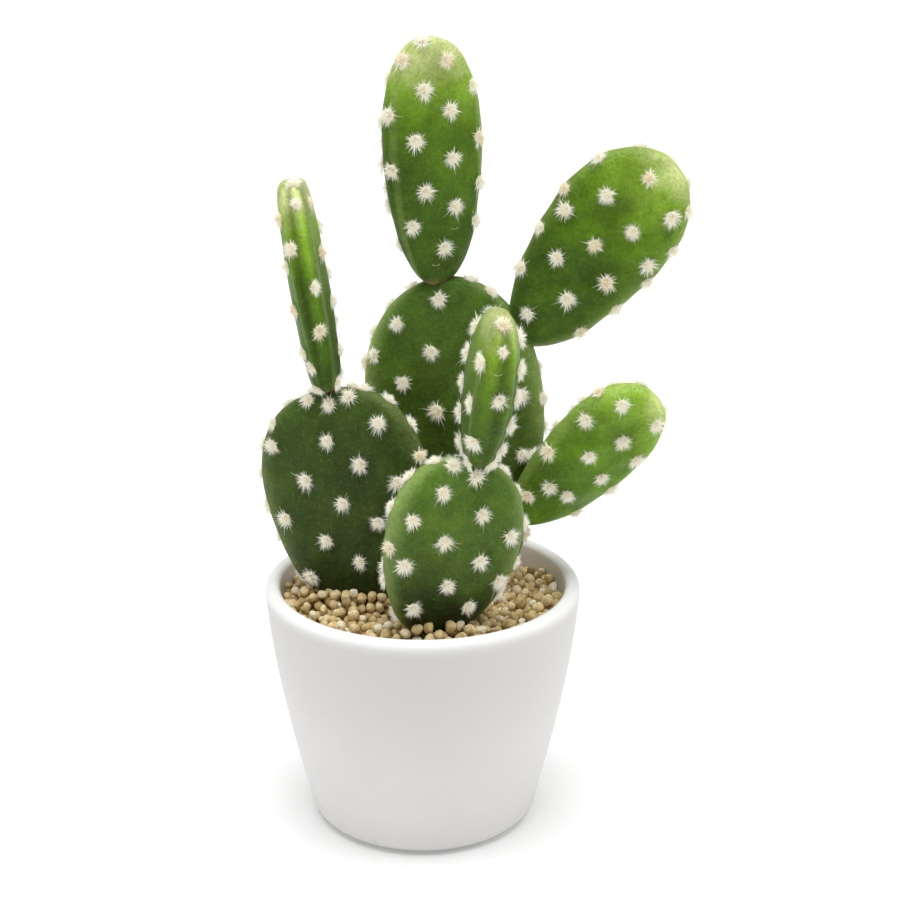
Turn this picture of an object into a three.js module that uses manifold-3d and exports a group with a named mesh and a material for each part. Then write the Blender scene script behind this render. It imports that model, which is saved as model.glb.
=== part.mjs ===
// A potted paddle cactus: eight pads, a bed of fine gravel, potting soil and a round ceramic pot.
// Millimetres, +Z up. The origin is the middle of the pot's flat underside, and -Y is the front.

import * as THREE from 'three';
import { mergeVertices } from 'three/addons/utils/BufferGeometryUtils.js';
import Module from 'manifold-3d';

const wasm = await Module();
wasm.setup();

// Pot: a tapering, slightly bellied wall with a rounded foot and a rounded lip.
const POT_HEIGHT = 80;
const RIM_RADIUS = 50;
const FOOT_RADIUS = 35;
const WALL_SWELL = 1.5; // 1 is a straight cone, more makes the wall fuller near the foot
const FOOT_ROUND = 6.8;
const WALL = 4.7;
const FLOOR = 6;
const INNER_ROUND = 6;
const LIP_ROUND = 1.8;
const POT_SIDES = 48;
const WALL_STEPS = 7;
const LIP_STEPS = 3;

// Fill: potting soil, with a bed of gravel on it that ends below the rim.
const GRAVEL_TOP = POT_HEIGHT - 6;
const GRAVEL_DEPTH = 7;
const STONE_RELIEF = 1.1;
const GRAVEL_RINGS = 8;
const CLEARANCE = 0.35; // between pieces that touch

// Pads: a flattened egg each, round at the tip and drawn in to a narrow base.
const PAD_RINGS = 14;
const PAD_SIDES = 20;
const PAD_SQUARENESS = 2.5; // exponent of the cross-section, where 2 is an ellipse
const NECK_LIMIT = 0.95; // the thickness never passes this share of the width
const ROOT_WIDTH = 0.5;
const ROOT_REACH = 12; // how far a rooted pad's buried base goes on below the pad
const ROOT_OVERLAP = 12;

// lean tips a pad to the right and nod tips it forward, in degrees; turn swings its face to the right.
// egg above 0 is widest past the middle, blunt below 1 squares the ends, bow curves the pad sideways,
// and edge is the exponent of the thickness along the pad, where low keeps it even.
// A rooted pad has the place of its base, and any other sits on its parent: along is a share of the
// parent's length, across is to the right of its axis and proud is forward of its middle plane.
const PADS = [
  {
    name: 'pad_back', root: [18, 14, 62.4], lean: -5.8, nod: -1.5, turn: -6,
    length: 112.7, width: 57, thickness: 14, egg: 0.34, blunt: 1.03, edge: 0.4, bow: -0.007,
  },
  {
    name: 'pad_left', root: [-13.5, -3, 70.4], lean: -11.7, nod: -1.5, turn: -14,
    length: 74.3, width: 54.7, thickness: 12, egg: 0.14, blunt: 0.79, edge: 0.4, bow: -0.019,
  },
  {
    name: 'pad_front', root: [2.3, -26, 72.3], lean: 11, nod: 1, turn: 18,
    length: 59, width: 43.6, thickness: 13, egg: 0.14, blunt: 0.84, edge: 0.4, bow: 0.022,
  },
  {
    name: 'pad_top', on: 'pad_back', along: 0.982, across: -2, proud: 1.2, lean: -1.7, nod: 3,
    turn: 22, length: 77, width: 32, thickness: 12, egg: 0.18, blunt: 0.82, edge: 0.4, bow: 0,
  },
  {
    name: 'pad_left_upper', on: 'pad_left', along: 1.002, across: -0.4, proud: 0, lean: -8.2, nod: 2.6,
    turn: 82, length: 67, width: 29, thickness: 9.5, egg: 0.18, blunt: 0.8, edge: 0.1, bow: 0,
  },
  {
    name: 'pad_front_upper', on: 'pad_front', along: 0.986, across: 3, proud: 1, lean: 7.9, nod: 15.4,
    turn: -80, length: 52.5, width: 25, thickness: 14.2, egg: 0.18, blunt: 0.8, edge: 0.65, bow: 0,
  },
  {
    name: 'pad_right_upper', on: 'pad_back', along: 0.807, across: 20.7, proud: -0.7, lean: 38.3,
    nod: 5.4, turn: -8, length: 74.4, width: 39.5, thickness: 12, egg: 0.28, blunt: 1, edge: 0.4,
    bow: -0.004,
  },
  {
    name: 'pad_right_lower', on: 'pad_back', along: 0.279, across: 15, proud: 1.3, lean: 39.5,
    nod: 16, turn: 20, length: 65.8, width: 31.1, thickness: 11, egg: 0.24, blunt: 0.89, edge: 0.4,
    bow: 0.018,
  },
];

const MATERIALS = {
  ceramic: { color: '#eceae6', roughness: 0.45 },
  soil: { color: '#4a3a2b', roughness: 0.95 },
  gravel: { color: '#b39d7c', roughness: 0.9 },
  old_pad: { color: '#3d6b3c', roughness: 0.55 },
  young_pad: { color: '#6f9a35', roughness: 0.5 },
};

function material(name) {
  return new THREE.MeshStandardMaterial({ metalness: 0, ...MATERIALS[name] });
}

// A closed geometry as a manifold solid, without the zero-area faces that a pole leaves.
function solid(geometry) {
  const bare = new THREE.BufferGeometry();
  bare.setAttribute('position', geometry.getAttribute('position').clone());
  bare.setIndex(geometry.index);
  const merged = mergeVertices(bare, 1e-4);
  const index = merged.index.array;
  const faces = [];
  for (let i = 0; i < index.length; i += 3) {
    const [a, b, c] = index.slice(i, i + 3);
    if (a !== b && b !== c && c !== a) {
      faces.push(a, b, c);
    }
  }
  const body = new wasm.Mesh({
    numProp: 3,
    vertProperties: new Float32Array(merged.attributes.position.array),
    triVerts: new Uint32Array(faces),
  });
  return new wasm.Manifold(body);
}

function geometryOf(body) {
  const mesh = body.getMesh();
  const geometry = new THREE.BufferGeometry();
  geometry.setAttribute('position', new THREE.BufferAttribute(mesh.vertProperties, 3));
  geometry.setIndex(new THREE.BufferAttribute(mesh.triVerts, 1));
  geometry.computeVertexNormals();
  return geometry;
}

function named(name, body, finish) {
  const mesh = new THREE.Mesh(geometryOf(body), material(finish));
  mesh.name = name;
  return mesh;
}

// A profile of [radius, height] pairs, from the axis out, up and back to the axis, turned about +Z.
function turned(profile) {
  const points = profile.map(([radius, height]) => new THREE.Vector2(radius, height));
  const lathe = new THREE.LatheGeometry(points, POT_SIDES);
  return solid(lathe.rotateX(Math.PI / 2));
}

function arc(centre, radius, from, to, steps) {
  const points = [];
  for (let i = 0; i <= steps; i += 1) {
    const angle = from + ((to - from) * i) / steps;
    points.push([centre[0] + radius * Math.cos(angle), centre[1] + radius * Math.sin(angle)]);
  }
  return points;
}

// Outside radius of the pot's wall at a height.
function wallRadius(height) {
  const up = 1 - height / POT_HEIGHT;
  return FOOT_RADIUS + (RIM_RADIUS - FOOT_RADIUS) * (1 - up ** WALL_SWELL);
}

// The inside of the pot from the axis out to its wall, up to a height, drawn in by an inset.
function innerProfile(top, inset) {
  const bend = FLOOR + INNER_ROUND;
  const corner = [wallRadius(bend) - WALL - INNER_ROUND, bend];
  const round = arc(corner, INNER_ROUND - inset, -Math.PI / 2, 0, LIP_STEPS);
  const wall = [];
  for (let i = 1; i <= WALL_STEPS; i += 1) {
    const height = bend + ((top - bend) * i) / WALL_STEPS;
    wall.push([wallRadius(height) - WALL - inset, height]);
  }
  return [[0, FLOOR + inset], ...round, ...wall];
}

function makePot() {
  const foot = [wallRadius(FOOT_ROUND) - FOOT_ROUND, FOOT_ROUND];
  const bottom = arc(foot, FOOT_ROUND, -Math.PI / 2, 0, LIP_STEPS + 1);
  const lipFloor = POT_HEIGHT - LIP_ROUND;
  const wall = [];
  for (let i = 1; i <= WALL_STEPS; i += 1) {
    const height = FOOT_ROUND + ((lipFloor - FOOT_ROUND) * i) / (WALL_STEPS + 1);
    wall.push([wallRadius(height), height]);
  }
  const outerLip = arc([RIM_RADIUS - LIP_ROUND, lipFloor], LIP_ROUND, 0, Math.PI / 2, LIP_STEPS);
  const innerLip = arc(
    [RIM_RADIUS - WALL + LIP_ROUND, lipFloor], LIP_ROUND, Math.PI / 2, Math.PI, LIP_STEPS,
  );
  const inside = innerProfile(lipFloor - LIP_ROUND, 0).reverse();
  return turned([[0, 0], ...bottom, ...wall, ...outerLip, ...innerLip, ...inside]);
}

function makeSoil() {
  const top = GRAVEL_TOP - GRAVEL_DEPTH - CLEARANCE;
  return turned([...innerProfile(top, CLEARANCE), [0, top]]);
}

// How far the top of the gravel dips at a place, from 0 to 1.
function stoneDip(x, y) {
  return 0.5 + 0.25 * (Math.sin(0.7 * x + 0.3 * y) + Math.sin(0.8 * y - 0.25 * x));
}

// The gravel as one bed: flat below, with an uneven top.
function makeGravel() {
  const low = GRAVEL_TOP - GRAVEL_DEPTH;
  const edge = (height) => wallRadius(height) - WALL - CLEARANCE;
  const profile = [[0, low], [edge(low), low], [edge(GRAVEL_TOP), GRAVEL_TOP - STONE_RELIEF]];
  for (let ring = GRAVEL_RINGS - 1; ring >= 0; ring -= 1) {
    profile.push([(edge(GRAVEL_TOP) * ring) / GRAVEL_RINGS, GRAVEL_TOP]);
  }
  const points = profile.map(([radius, height]) => new THREE.Vector2(radius, height));
  const bed = new THREE.LatheGeometry(points, POT_SIDES).rotateX(Math.PI / 2);
  const spots = bed.getAttribute('position');
  for (let i = 0; i < spots.count; i += 1) {
    if (spots.getZ(i) > GRAVEL_TOP - 1e-6) {
      const dip = stoneDip(spots.getX(i), spots.getY(i));
      spots.setZ(i, GRAVEL_TOP - STONE_RELIEF * dip);
    }
  }
  return solid(bed);
}

// One ring of a flattened section at a height.
function sectionRing(shift, halfWidth, halfThick, height) {
  const ring = [];
  for (let i = 0; i < PAD_SIDES; i += 1) {
    const angle = (2 * Math.PI * i) / PAD_SIDES;
    const round = (value) => Math.sign(value) * Math.abs(value) ** (2 / PAD_SQUARENESS);
    const across = shift + halfWidth * round(Math.cos(angle));
    ring.push(new THREE.Vector3(across, halfThick * round(Math.sin(angle)), height));
  }
  return ring;
}

// Rings of points, bottom to top, closed by a point at each end.
function skinned(rings, bottom, top) {
  const points = [bottom, ...rings.flat(), top];
  const last = points.length - 1;
  const faces = [];
  for (let side = 0; side < PAD_SIDES; side += 1) {
    const next = (side + 1) % PAD_SIDES;
    faces.push(0, 1 + next, 1 + side);
    for (let ring = 0; ring < rings.length - 1; ring += 1) {
      const low = 1 + ring * PAD_SIDES;
      const high = low + PAD_SIDES;
      faces.push(low + side, low + next, high + next, low + side, high + next, high + side);
    }
    faces.push(last - PAD_SIDES + side, last - PAD_SIDES + next, last);
  }
  const geometry = new THREE.BufferGeometry().setFromPoints(points);
  geometry.setIndex(faces);
  return geometry;
}

// A pad in its own frame: its base at the origin, its tip up +Z and its face looking along -Y.
function padBody(pad, grow) {
  const length = pad.length + 2 * grow;
  const swell = (angle) => Math.sin(angle) ** pad.blunt * (1 - pad.egg * Math.cos(angle));
  const angles = [];
  for (let i = 1; i <= PAD_RINGS; i += 1) {
    angles.push((Math.PI * i) / (PAD_RINGS + 1));
  }
  const widest = Math.max(...angles.map(swell));
  const rings = angles.map((angle) => {
    const along = (1 - Math.cos(angle)) / 2;
    const halfWidth = (pad.width / 2) * (swell(angle) / widest) + grow;
    const full = (pad.thickness / 2) * Math.sin(angle) ** pad.edge + grow;
    const halfThick = (full ** -4 + (NECK_LIMIT * halfWidth) ** -4) ** -0.25;
    const shift = 4 * pad.bow * pad.length * along * (1 - along);
    return sectionRing(shift, halfWidth, halfThick, along * length - grow);
  });
  const body = solid(
    skinned(rings, new THREE.Vector3(0, 0, -grow), new THREE.Vector3(0, 0, length - grow)),
  );
  return pad.root ? body.add(rootBody(pad, grow)) : body;
}

// The buried base of a rooted pad, tapering down into the soil.
function rootBody(pad, grow) {
  const shares = [0, 0.3, 0.65, 1];
  const rings = shares.map((share) => {
    const halfWidth = (pad.width / 2) * ROOT_WIDTH * (0.45 + 0.55 * share ** 0.6) + grow;
    const halfThick = (pad.thickness / 2) * (0.55 + 0.35 * share) + grow;
    const height = -ROOT_REACH + (ROOT_REACH + ROOT_OVERLAP) * share;
    return sectionRing(0, halfWidth, halfThick, height + (share === 0 ? -grow : 0));
  });
  const bottom = new THREE.Vector3(0, 0, -ROOT_REACH - 2 - grow);
  const top = new THREE.Vector3(0, 0, ROOT_OVERLAP + 1);
  return solid(skinned(rings, bottom, top));
}

// The frame of a pad: its axis up +Z, its right along +X and its face along -Y.
function padMatrix(pad, origin) {
  const lean = THREE.MathUtils.degToRad(pad.lean);
  const nod = THREE.MathUtils.degToRad(pad.nod);
  const turn = THREE.MathUtils.degToRad(pad.turn);
  const axis = new THREE.Vector3(
    Math.sin(lean) * Math.cos(nod), -Math.sin(nod), Math.cos(lean) * Math.cos(nod),
  );
  const face = new THREE.Vector3(Math.sin(turn), -Math.cos(turn), 0);
  face.addScaledVector(axis, -face.dot(axis)).normalize();
  const right = new THREE.Vector3().crossVectors(axis, face);
  return new THREE.Matrix4().makeBasis(right, face.negate(), axis).setPosition(origin);
}

// Every pad's place, worked out from its root or from its parent's place.
function padPlaces() {
  const places = new Map();
  for (const pad of PADS) {
    if (pad.root) {
      places.set(pad.name, padMatrix(pad, new THREE.Vector3(...pad.root)));
    } else {
      const parent = PADS.find((other) => other.name === pad.on);
      const seat = new THREE.Vector3(pad.across, -pad.proud, pad.along * parent.length);
      places.set(pad.name, padMatrix(pad, seat.applyMatrix4(places.get(pad.on))));
    }
  }
  return places;
}

function moved(body, matrix) {
  return body.transform(matrix.toArray());
}

// A pad's mesh, with its base hollowed where it sits on its parent.
function makePad(pad, places) {
  let body = padBody(pad, 0);
  if (pad.on) {
    const parent = PADS.find((other) => other.name === pad.on);
    const toChild = places.get(pad.name).clone().invert().multiply(places.get(pad.on));
    body = body.subtract(moved(padBody(parent, CLEARANCE), toChild));
  }
  const pieces = body.decompose().sort((a, b) => b.volume() - a.volume());
  const mesh = named(pad.name, pieces[0], pad.root ? 'old_pad' : 'young_pad');
  mesh.applyMatrix4(places.get(pad.name));
  return mesh;
}

// What the rooted pads take out of the gravel and the soil.
function rootedCutters(places) {
  const rooted = PADS.filter((pad) => pad.root);
  const bodies = rooted.map((pad) => moved(padBody(pad, CLEARANCE), places.get(pad.name)));
  return bodies.reduce((all, body) => all.add(body));
}

const places = padPlaces();
const cutter = rootedCutters(places);

const planter = new THREE.Group();
planter.add(named('pot', makePot(), 'ceramic'));
planter.add(named('potting_soil', makeSoil().subtract(cutter), 'soil'));
planter.add(named('gravel', makeGravel().subtract(cutter), 'gravel'));

const plant = new THREE.Group();
PADS.forEach((pad) => plant.add(makePad(pad, places)));

const cactus = new THREE.Group();
cactus.add(planter, plant);

export default cactus;
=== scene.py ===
"""Potted paddle cactus: the finished surfaces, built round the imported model.

Eight pads with their tufts of bristles, a bed of loose stones and a matte ceramic pot.
Metres, +Z up. The origin is the middle of the pot's underside, and -Y is the front.
"""

import logging
import math
from dataclasses import dataclass
from enum import Enum

import bpy
import numpy as np
from mathutils import Matrix, Vector
from mathutils.bvhtree import BVHTree


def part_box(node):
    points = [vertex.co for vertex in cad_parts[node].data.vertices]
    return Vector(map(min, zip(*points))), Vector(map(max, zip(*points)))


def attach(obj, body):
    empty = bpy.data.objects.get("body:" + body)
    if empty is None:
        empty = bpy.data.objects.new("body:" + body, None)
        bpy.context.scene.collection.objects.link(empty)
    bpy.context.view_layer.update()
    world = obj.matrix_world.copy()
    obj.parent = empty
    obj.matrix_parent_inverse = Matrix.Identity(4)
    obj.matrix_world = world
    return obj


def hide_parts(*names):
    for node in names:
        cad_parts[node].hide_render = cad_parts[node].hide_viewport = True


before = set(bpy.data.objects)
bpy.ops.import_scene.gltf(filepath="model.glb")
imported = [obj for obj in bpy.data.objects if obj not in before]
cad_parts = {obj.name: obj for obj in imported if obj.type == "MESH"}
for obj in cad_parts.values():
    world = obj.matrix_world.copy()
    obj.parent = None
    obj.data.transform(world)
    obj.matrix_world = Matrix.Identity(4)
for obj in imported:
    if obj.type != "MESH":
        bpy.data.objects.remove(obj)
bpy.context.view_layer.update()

LOG = logging.getLogger("cactus")
MM = 0.001
SEED = 29
Colour = tuple[float, float, float]


# ---------------------------------------------------------------- shader maths


class Value:
    """One socket of a shader, which Python's arithmetic works on."""

    def __init__(self, graph: "Graph", socket: bpy.types.NodeSocket) -> None:
        """Keeps the socket and the graph it is in."""
        self.graph = graph
        self.socket = socket

    def _maths(self, operation: str, first: "Value | float", second: "Value | float") -> "Value":
        """Adds one Math node.

        Args:
            operation: the node's operation.
            first: its first value.
            second: its second value.

        Returns:
            The node's result.
        """
        inputs = {0: first, 1: second}
        return self.graph.node("ShaderNodeMath", {"operation": operation}, inputs)

    def __add__(self, other: "Value | float") -> "Value":
        """This plus other."""
        return self._maths("ADD", self, other)

    def __radd__(self, other: float) -> "Value":
        """Other plus this."""
        return self._maths("ADD", other, self)

    def __sub__(self, other: "Value | float") -> "Value":
        """This less other."""
        return self._maths("SUBTRACT", self, other)

    def __rsub__(self, other: float) -> "Value":
        """Other less this."""
        return self._maths("SUBTRACT", other, self)

    def __mul__(self, other: "Value | float") -> "Value":
        """This times other."""
        return self._maths("MULTIPLY", self, other)

    def above(self, limit: float, soft: float) -> "Value":
        """A mask that rises from 0 to 1 as this passes a limit.

        Args:
            limit: where the mask is half way.
            soft: how far the rise reaches on each side.

        Returns:
            The mask.
        """
        inputs = {0: self, 1: limit - soft, 2: limit + soft, 3: 0.0, 4: 1.0}
        settings = {"interpolation_type": "SMOOTHSTEP"}
        return self.graph.node("ShaderNodeMapRange", settings, inputs)


class Graph:
    """The nodes of one material."""

    def __init__(self, name: str) -> None:
        """Starts an empty material with that name."""
        self.material = bpy.data.materials.new(name)
        self.material.use_nodes = True
        self.tree = self.material.node_tree
        self.tree.nodes.clear()

    def node(
        self,
        kind: str,
        settings: dict | None = None,
        inputs: dict | None = None,
        output: int | str = 0,
    ) -> Value:
        """Adds a node.

        Args:
            kind: the node's type.
            settings: its properties, and stops for a colour ramp, all set first.
            inputs: a number, a colour or a Value for each socket, by name or place.
            output: the socket that is given back.

        Returns:
            That output socket.
        """
        made = self.tree.nodes.new(kind)
        for key, setting in (settings or {}).items():
            if key == "stops":
                self._set_stops(made.color_ramp, setting)
            else:
                setattr(made, key, setting)
        for key, given in (inputs or {}).items():
            socket = made.inputs[key]
            if isinstance(given, Value):
                self.tree.links.new(given.socket, socket)
            elif isinstance(given, tuple) and socket.type == "RGBA":
                socket.default_value = (*given[:3], 1.0)
            else:
                socket.default_value = given
        return Value(self, made.outputs[output])

    @staticmethod
    def _set_stops(ramp: bpy.types.ColorRamp, stops: list[tuple[float, Colour]]) -> None:
        """Gives a colour ramp its stops."""
        while len(ramp.elements) < len(stops):
            ramp.elements.new(1.0)
        for element, (place, colour) in zip(ramp.elements, stops):
            element.position = place
            element.color = (*colour, 1.0)

    def place(self) -> Value:
        """The point of the surface, in the piece's own coordinates."""
        return self.node("ShaderNodeTexCoord", output="Object")

    def height(self) -> Value:
        """The height above the ground, in metres."""
        return self.node("ShaderNodeSeparateXYZ", None, {"Vector": self.place()}, "Z")

    def attribute(self, name: str) -> Value:
        """A number kept on the piece's points."""
        return self.node("ShaderNodeAttribute", {"attribute_name": name}, output="Fac")

    def noise(self, size: float, detail: float = 3.0) -> Value:
        """Soft random patches.

        Args:
            size: the patches' width in metres.
            detail: how many finer layers they have.

        Returns:
            A value that stays near 0.5.
        """
        inputs = {"Vector": self.place(), "Scale": 1.0 / size, "Detail": detail}
        return self.node("ShaderNodeTexNoise", None, inputs, "Fac")

    def cells(self, size: float) -> Value:
        """The distance from the middle of each of many small cells.

        Args:
            size: the cells' width in metres.

        Returns:
            The distance as a share of the cell.
        """
        inputs = {"Vector": self.place(), "Scale": 1.0 / size}
        return self.node("ShaderNodeTexVoronoi", None, inputs, "Distance")

    def ramp(self, value: Value, stops: list[tuple[float, Colour]]) -> Value:
        """The colour that a value picks from some stops."""
        return self.node("ShaderNodeValToRGB", {"stops": stops}, {"Fac": value})

    def mix(self, first: Value | Colour, second: Value | Colour, share: Value | float) -> Value:
        """Two colours mixed.

        Args:
            first: the colour where share is 0.
            second: the colour where share is 1.
            share: how much of the second.

        Returns:
            The mixed colour.
        """
        inputs = {0: share, 6: first, 7: second}
        return self.node("ShaderNodeMix", {"data_type": "RGBA"}, inputs, 2)

    def shade(self, colour: Value, by: Value) -> Value:
        """A colour times a brightness that varies over the surface."""
        grey = self.node("ShaderNodeCombineXYZ", None, {0: by, 1: by, 2: by})
        settings = {"operation": "MULTIPLY"}
        return self.node("ShaderNodeVectorMath", settings, {0: colour, 1: grey})

    def bump(self, height: Value, depth: float, under: Value | None = None) -> Value:
        """A bumpy normal.

        Args:
            height: the height, from 0 to 1.
            depth: how deep a height of 1 is, in metres.
            under: a normal that this one adds to.

        Returns:
            The normal.
        """
        inputs = {"Height": height, "Distance": depth, "Strength": 1.0}
        if under is not None:
            inputs["Normal"] = under
        return self.node("ShaderNodeBump", None, inputs)

    def surface(self, inputs: dict) -> bpy.types.Material:
        """Ends the material with one principled shader.

        Args:
            inputs: what its sockets are given.

        Returns:
            The material.
        """
        shader = self.node("ShaderNodeBsdfPrincipled", None, inputs)
        end = self.tree.nodes.new("ShaderNodeOutputMaterial")
        self.tree.links.new(shader.socket, end.inputs["Surface"])
        return self.material


# -------------------------------------------------------------------- finishes


@dataclass(frozen=True)
class PadSkin:
    """The waxy skin of a pad, from its base to its tip.

    Attributes:
        name: the material's name.
        base: the colour at the pad's base, partly its own darker colour and partly painted shade.
        middle: the colour below the middle.
        high: the colour above the middle.
        upper: the colour near the tip.
        tip: the colour at the tip, partly its own paler colour and partly a painted highlight.
        rim: the colour of the narrow edge, a painted rim light.
        fresh: the colour of its yellower patches.
        rim_light_share: how strongly the edge takes its painted rim light.
        fresh_share: how strong the patches are.
        roughness: the skin's mean roughness.
        gloss: how strongly it mirrors the light.
    """

    name: str
    base: Colour
    middle: Colour
    high: Colour
    upper: Colour
    tip: Colour
    rim: Colour
    fresh: Colour
    rim_light_share: float = 0.6
    fresh_share: float = 0.35
    roughness: float = 0.46
    gloss: float = 0.16

    def material(self) -> bpy.types.Material:
        """Makes the material."""
        graph = Graph(self.name)
        along = graph.attribute("along")
        broad = graph.noise(0.014, 2.0)
        patches = graph.noise(0.0055, 3.0)
        mottle = graph.noise(0.0022, 4.0)
        grain = graph.noise(0.0009, 2.0)
        drift = along + (broad - 0.5) * 0.32 + (patches - 0.5) * 0.12
        # From base to tip the ramp is partly the skin's own colour and partly painted: painted shade at the
        # base, a painted highlight towards the tip.
        stops = [(0.0, self.base), (0.4, self.middle), (0.66, self.high), (0.86, self.upper), (1.0, self.tip)]
        green = graph.ramp(drift, stops)
        green = graph.mix(green, self.fresh, patches.above(0.56, 0.2) * self.fresh_share)
        # Painted rim light: the narrow edge and the ridges beside it are painted paler.
        edge = graph.attribute("rim").above(0.62, 0.38) * self.rim_light_share
        green = graph.mix(green, self.rim, edge)
        cork = (0.035 - along).above(0.0, 0.02) * mottle.above(0.45, 0.1)
        green = graph.mix(green, (0.2, 0.13, 0.06), cork)
        tone = 0.25 + patches * 0.36 + mottle * 0.34 + grain * 0.8
        # The kept tone carries each pad's painted light and shade, as well as its own lightness.
        green = graph.shade(green, tone * graph.attribute("tone"))
        specks = (1.0 - graph.cells(0.0028)).above(0.95, 0.025) * broad.above(0.5, 0.1)
        green = graph.mix(green, (0.36, 0.42, 0.2), specks * 0.5)
        # Faint pale flecks: partly the skin's grain and partly painted glints.
        grain_dots_and_glints = (1.0 - graph.cells(0.0009)).above(0.72, 0.12) * mottle.above(0.5, 0.1)
        green = graph.mix(green, (0.3, 0.42, 0.16), grain_dots_and_glints * 0.15)
        pores = graph.cells(0.00045)
        rough = self.roughness + (patches - 0.5) * 0.25 + (grain - 0.5) * 0.2
        relief = graph.bump(patches, 0.0006)
        relief = graph.bump(mottle, 0.0003, relief)
        relief = graph.bump(grain, 0.00025, relief)
        relief = graph.bump(pores, 0.0001, relief)
        inputs = {"Base Color": green, "Roughness": rough, "Normal": relief}
        inputs["Specular IOR Level"] = self.gloss
        return graph.surface(inputs)


@dataclass(frozen=True)
class Bristle:
    """The pale bristles of a tuft.

    Attributes:
        name: the material's name.
        pale: the colour of most bristles.
        warm: the colour of the few yellowish ones.
        glow: how strongly they glow, which stands in for the light that they let through.
    """

    name: str = "bristle"
    pale: Colour = (0.96, 0.97, 0.9)
    warm: Colour = (0.83, 0.62, 0.29)
    glow: float = 0.22

    def material(self) -> bpy.types.Material:
        """Makes the material."""
        graph = Graph(self.name)
        colour = graph.mix(self.pale, self.warm, graph.attribute("warmth"))
        streaks = graph.noise(0.0012, 2.0)
        colour = graph.shade(colour, 0.88 + streaks * 0.22)
        rough = 0.5 + streaks * 0.2
        inputs = {"Base Color": colour, "Roughness": rough}
        inputs["Emission Color"] = colour
        inputs["Emission Strength"] = self.glow
        return graph.surface(inputs)


@dataclass(frozen=True)
class Felt:
    """The woolly cushion that a tuft grows from.

    Attributes:
        name: the material's name.
        light: the colour of its wool, painted as lit.
        dark: its darker colour, partly the wool's own colour and partly painted shade between its strands.
    """

    name: str = "felt"
    light: Colour = (0.93, 0.9, 0.73)
    dark: Colour = (0.68, 0.54, 0.31)

    def material(self) -> bpy.types.Material:
        """Makes the material."""
        graph = Graph(self.name)
        wool = graph.noise(0.0005, 3.0)
        # The darker colour in small patches is partly painted shade between the wool's strands.
        colour = graph.mix(self.dark, self.light, wool.above(0.45, 0.15))
        relief = graph.bump(wool, 0.0003)
        return graph.surface({"Base Color": colour, "Roughness": 0.5 + wool * 0.8, "Normal": relief})


@dataclass(frozen=True)
class Stone:
    """The small tan stones of the top dressing.

    Attributes:
        name: the material's name.
        tints: the colours that the stones are picked from, darkest first.
    """

    name: str = "stone"
    tints: tuple[Colour, ...] = (
        (0.24, 0.16, 0.065),
        (0.5, 0.37, 0.165),
        (0.71, 0.54, 0.255),
        (0.86, 0.7, 0.4),
        (0.95, 0.88, 0.69),
    )

    def material(self) -> bpy.types.Material:
        """Makes the material."""
        graph = Graph(self.name)
        tint = graph.attribute("tint")
        clouds = graph.noise(0.0022, 3.0)
        grit = graph.noise(0.0005, 3.0)
        last = len(self.tints) - 1
        stops = [(place / last, colour) for place, colour in enumerate(self.tints)]
        colour = graph.ramp(tint + (clouds - 0.5) * 0.6, stops)
        colour = graph.shade(colour, 0.2 + clouds * 0.6 + grit * 0.9)
        # Small dark spots scattered over each stone.
        dark_spots = (1.0 - graph.cells(0.0011)).above(0.86, 0.05)
        colour = graph.mix(colour, (0.16, 0.1, 0.055), dark_spots * 0.35)
        relief = graph.bump(clouds, 0.0006)
        relief = graph.bump(grit, 0.0002, relief)
        rough = 0.72 + grit * 0.3
        return graph.surface({"Base Color": colour, "Roughness": rough, "Normal": relief})


@dataclass(frozen=True)
class Ceramic:
    """The pot's matte white ceramic, with painted shade on the wall below the lip and a painted highlight on
    the lip.

    Attributes:
        name: the material's name.
        white: its colour.
        shade: the colour of its faint cloudy patches.
        brow_shade: the colour of the wall's top, below the lip, painted darker as shade.
        lip: the colour of the lip, painted lighter as a highlight.
        roughness: its mean roughness.
    """

    name: str = "ceramic_matte"
    white: Colour = (0.79, 0.783, 0.768)
    shade: Colour = (0.765, 0.756, 0.738)
    brow_shade: Colour = (0.69, 0.68, 0.66)
    lip: Colour = (0.9, 0.897, 0.88)
    roughness: float = 0.44

    def material(self) -> bpy.types.Material:
        """Makes the material."""
        graph = Graph(self.name)
        clouds = graph.noise(0.03, 3.0)
        grain = graph.noise(0.0007, 3.0)
        colour = graph.mix(self.white, self.shade, clouds.above(0.5, 0.2))
        height = graph.height()
        # Painted shade on the wall's top below the lip, then a painted highlight on the lip.
        brow_shade_band = height.above(0.043, 0.03) * (1.0 - height.above(0.0765, 0.002))
        colour = graph.mix(colour, self.brow_shade, brow_shade_band)
        colour = graph.mix(colour, self.lip, height.above(0.078, 0.0015))
        colour = graph.shade(colour, 0.985 + grain * 0.03)
        relief = graph.bump(clouds, 0.0002)
        relief = graph.bump(grain, 0.00003, relief)
        rough = self.roughness + (clouds - 0.5) * 0.12 + (grain - 0.5) * 0.1
        return graph.surface({"Base Color": colour, "Roughness": rough, "Normal": relief})


@dataclass(frozen=True)
class Soil:
    """Dark, crumbly potting soil.

    Attributes:
        name: the material's name.
        wet: its darkest colour.
        dry: its lightest colour.
    """

    name: str = "soil_crumb"
    wet: Colour = (0.035, 0.022, 0.014)
    dry: Colour = (0.13, 0.085, 0.05)

    def material(self) -> bpy.types.Material:
        """Makes the material."""
        graph = Graph(self.name)
        crumbs = graph.noise(0.002, 5.0)
        colour = graph.mix(self.wet, self.dry, crumbs.above(0.5, 0.2))
        relief = graph.bump(crumbs, 0.001)
        return graph.surface({"Base Color": colour, "Roughness": 0.8 + crumbs * 0.2, "Normal": relief})


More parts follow.
